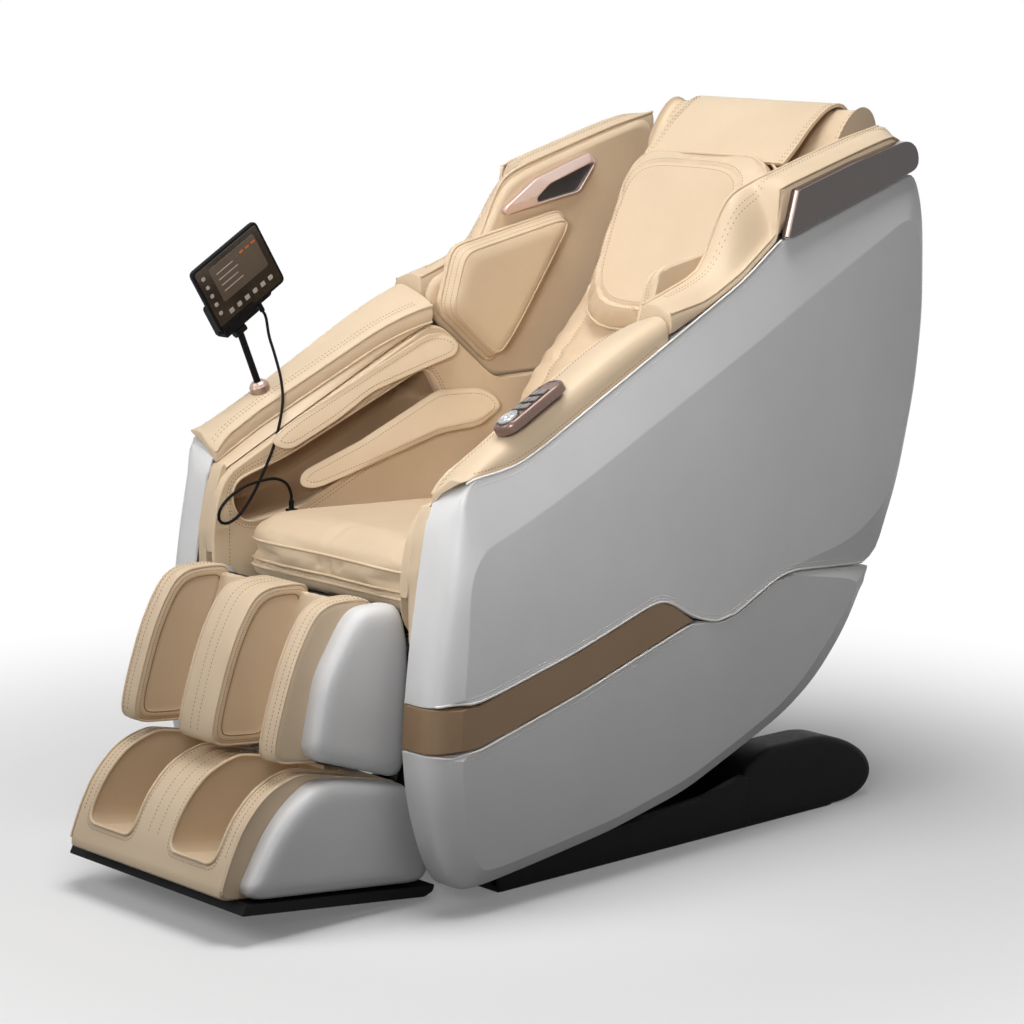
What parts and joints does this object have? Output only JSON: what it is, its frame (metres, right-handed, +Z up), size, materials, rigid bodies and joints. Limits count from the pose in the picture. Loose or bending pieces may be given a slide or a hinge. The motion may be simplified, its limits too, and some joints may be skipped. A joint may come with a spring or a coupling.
{
  "type": "massage chair",
  "caption": "Reclining home massage chair with a capsule-like padded shell, calf and foot wells, roller carriage, arm tablet on a stalk and key pod.",
  "frame": {"origin": "on the floor, at the middle of the chair's length and width", "axes": "+Z up, the sitter faces -Y, +X is the sitter's left"},
  "size_m": [0.73, 1.41, 1.219],
  "materials": {
    "beige_leather": "soft satin, fine grain, stitched",
    "white_leather": "pearl satin, fine grain",
    "brown_stripe": "satin",
    "brown_gloss": "gloss",
    "rose_metal": "satin metallic",
    "black_plastic": "fine moulded texture",
    "frame_steel": "satin black paint",
    "bright_steel": "brushed",
    "screen_glass": "gloss",
    "roller_rubber": "matte"
  },
  "bodies": {
    "base": {"base_cover": "black_plastic", "base_frame": "frame_steel", "recline_actuator": "black_plastic"},
    "chassis": {"seat_frame": "frame_steel", "left_outer_upper_panel": "white_leather", "left_outer_stripe": "brown_stripe", "left_outer_lower_panel": "white_leather", "left_wing_trim": "brown_gloss", "left_arm_pad": "beige_leather", "left_wing_pad": "beige_leather", "left_inner_panel": "beige_leather", "left_upper_airbag": "beige_leather", "left_lower_airbag": "beige_leather", "left_shoulder_pad": "beige_leather", "left_speaker": "rose_metal", "right_outer_upper_panel": "white_leather", "right_outer_stripe": "brown_stripe", "right_outer_lower_panel": "white_leather", "right_wing_trim": "brown_gloss", "right_arm_pad": "beige_leather", "right_wing_pad": "beige_leather", "right_inner_panel": "beige_leather", "right_upper_airbag": "beige_leather", "right_lower_airbag": "beige_leather", "right_shoulder_pad": "beige_leather", "right_speaker": "rose_metal", "seat_cushion": "beige_leather", "back_cushion": "beige_leather", "head_pillow": "beige_leather", "head_flap": "beige_leather", "back_cover": "white_leather", "leg_actuator": "black_plastic", "stalk_socket": "rose_metal", "cable_gland": "black_plastic", "tablet_cable": "black_plastic", "control_pod": "rose_metal"},
    "recline_rod": {"recline_rod": "bright_steel"},
    "carriage": {"massage_carriage": "black_plastic"},
    "left_rollers": {"left_rollers": "roller_rubber"},
    "right_rollers": {"right_rollers": "roller_rubber"},
    "leg": {"leg_frame": "frame_steel", "left_calf_side": "white_leather", "right_calf_side": "white_leather", "left_calf_pad": "beige_leather", "centre_calf_pad": "beige_leather", "right_calf_pad": "beige_leather"},
    "leg_rod": {"leg_rod": "bright_steel"},
    "foot": {"sole_plate": "black_plastic", "foot_cover": "beige_leather", "left_foot_side": "white_leather", "right_foot_side": "white_leather", "foot_slide_rails": "bright_steel"},
    "stalk": {"stalk": "black_plastic"},
    "tablet": {"tablet": "screen_glass", "tablet_cradle": "black_plastic", "tablet_plug": "black_plastic"},
    "dial": {"dial": "bright_steel"},
    "front_key": {"front_key": "brown_gloss"},
    "middle_key": {"middle_key": "brown_gloss"},
    "rear_key": {"rear_key": "brown_gloss"}
  },
  "joints": [
    {"name": "recline", "type": "hinge", "parent": "base", "child": "chassis", "pos_m": [0, 0.075, 0.16], "axis": [-1, 0, 0], "range_deg": [0, 25]},
    {"name": "recline_rod_slide", "type": "slide", "parent": "base", "child": "recline_rod", "axis": [0, -1, 0], "range_m": [0, 0.0444]},
    {"name": "leg_lift", "type": "hinge", "parent": "chassis", "child": "leg", "pos_m": [0, -0.325, 0.505], "axis": [-1, 0, 0], "range_deg": [0, 60]},
    {"name": "leg_rod_slide", "type": "slide", "parent": "chassis", "child": "leg_rod", "axis": [0, -1, 0], "range_m": [0, 0.1502]},
    {"name": "foot_extend", "type": "slide", "parent": "leg", "child": "foot", "axis": [0, -0.2924, -0.9563], "range_m": [0, 0.12]},
    {"name": "massage_travel", "type": "slide", "parent": "chassis", "child": "carriage", "axis": [0, 0.5878, 0.809], "range_m": [0, 0.3]},
    {"name": "left_roller_spin", "type": "hinge", "parent": "carriage", "child": "left_rollers", "pos_m": [0.08, 0.4046, 0.66727], "axis": [1, 0, 0], "continuous": true},
    {"name": "right_roller_spin", "type": "hinge", "parent": "carriage", "child": "right_rollers", "pos_m": [-0.08, 0.4046, 0.66727], "axis": [1, 0, 0], "continuous": true},
    {"name": "stalk_swivel", "type": "hinge", "parent": "chassis", "child": "stalk", "pos_m": [-0.306, -0.225, 0.75311], "axis": [0, -0.3746, 0.9272], "range_deg": [-60, 60], "deforming": ["tablet_cable"]},
    {"name": "tablet_tilt", "type": "hinge", "parent": "stalk", "child": "tablet", "pos_m": [-0.306, -0.26658, 0.85603], "axis": [0, 0.8572, 0.515], "range_deg": [-20, 20], "deforming": ["tablet_cable"]},
    {"name": "dial_press", "type": "slide", "parent": "chassis", "child": "dial", "axis": [0.2161, 0.4542, -0.8643], "range_m": [0, 0.002], "stiffness_N_per_m": 800, "springref_m": -0.001},
    {"name": "front_key_rock", "type": "hinge", "parent": "chassis", "child": "front_key", "pos_m": [0.32083, -0.19806, 0.79], "axis": [0, 0.8852, 0.4652], "range_deg": [-6, 6], "stiffness_Nm_per_rad": 0.2},
    {"name": "middle_key_rock", "type": "hinge", "parent": "chassis", "child": "middle_key", "pos_m": [0.32083, -0.18036, 0.79931], "axis": [0, 0.8852, 0.4652], "range_deg": [-6, 6], "stiffness_Nm_per_rad": 0.2},
    {"name": "rear_key_rock", "type": "hinge", "parent": "chassis", "child": "rear_key", "pos_m": [0.32083, -0.16265, 0.80861], "axis": [0, 0.8852, 0.4652], "range_deg": [-6, 6], "stiffness_Nm_per_rad": 0.2}
  ],
  "couplings": [
    {"joint": "recline_rod_slide", "follows": "recline", "m_per_rad": 0.10162},
    {"joint": "leg_rod_slide", "follows": "leg_lift", "m_per_rad": 0.14335}
  ]
}
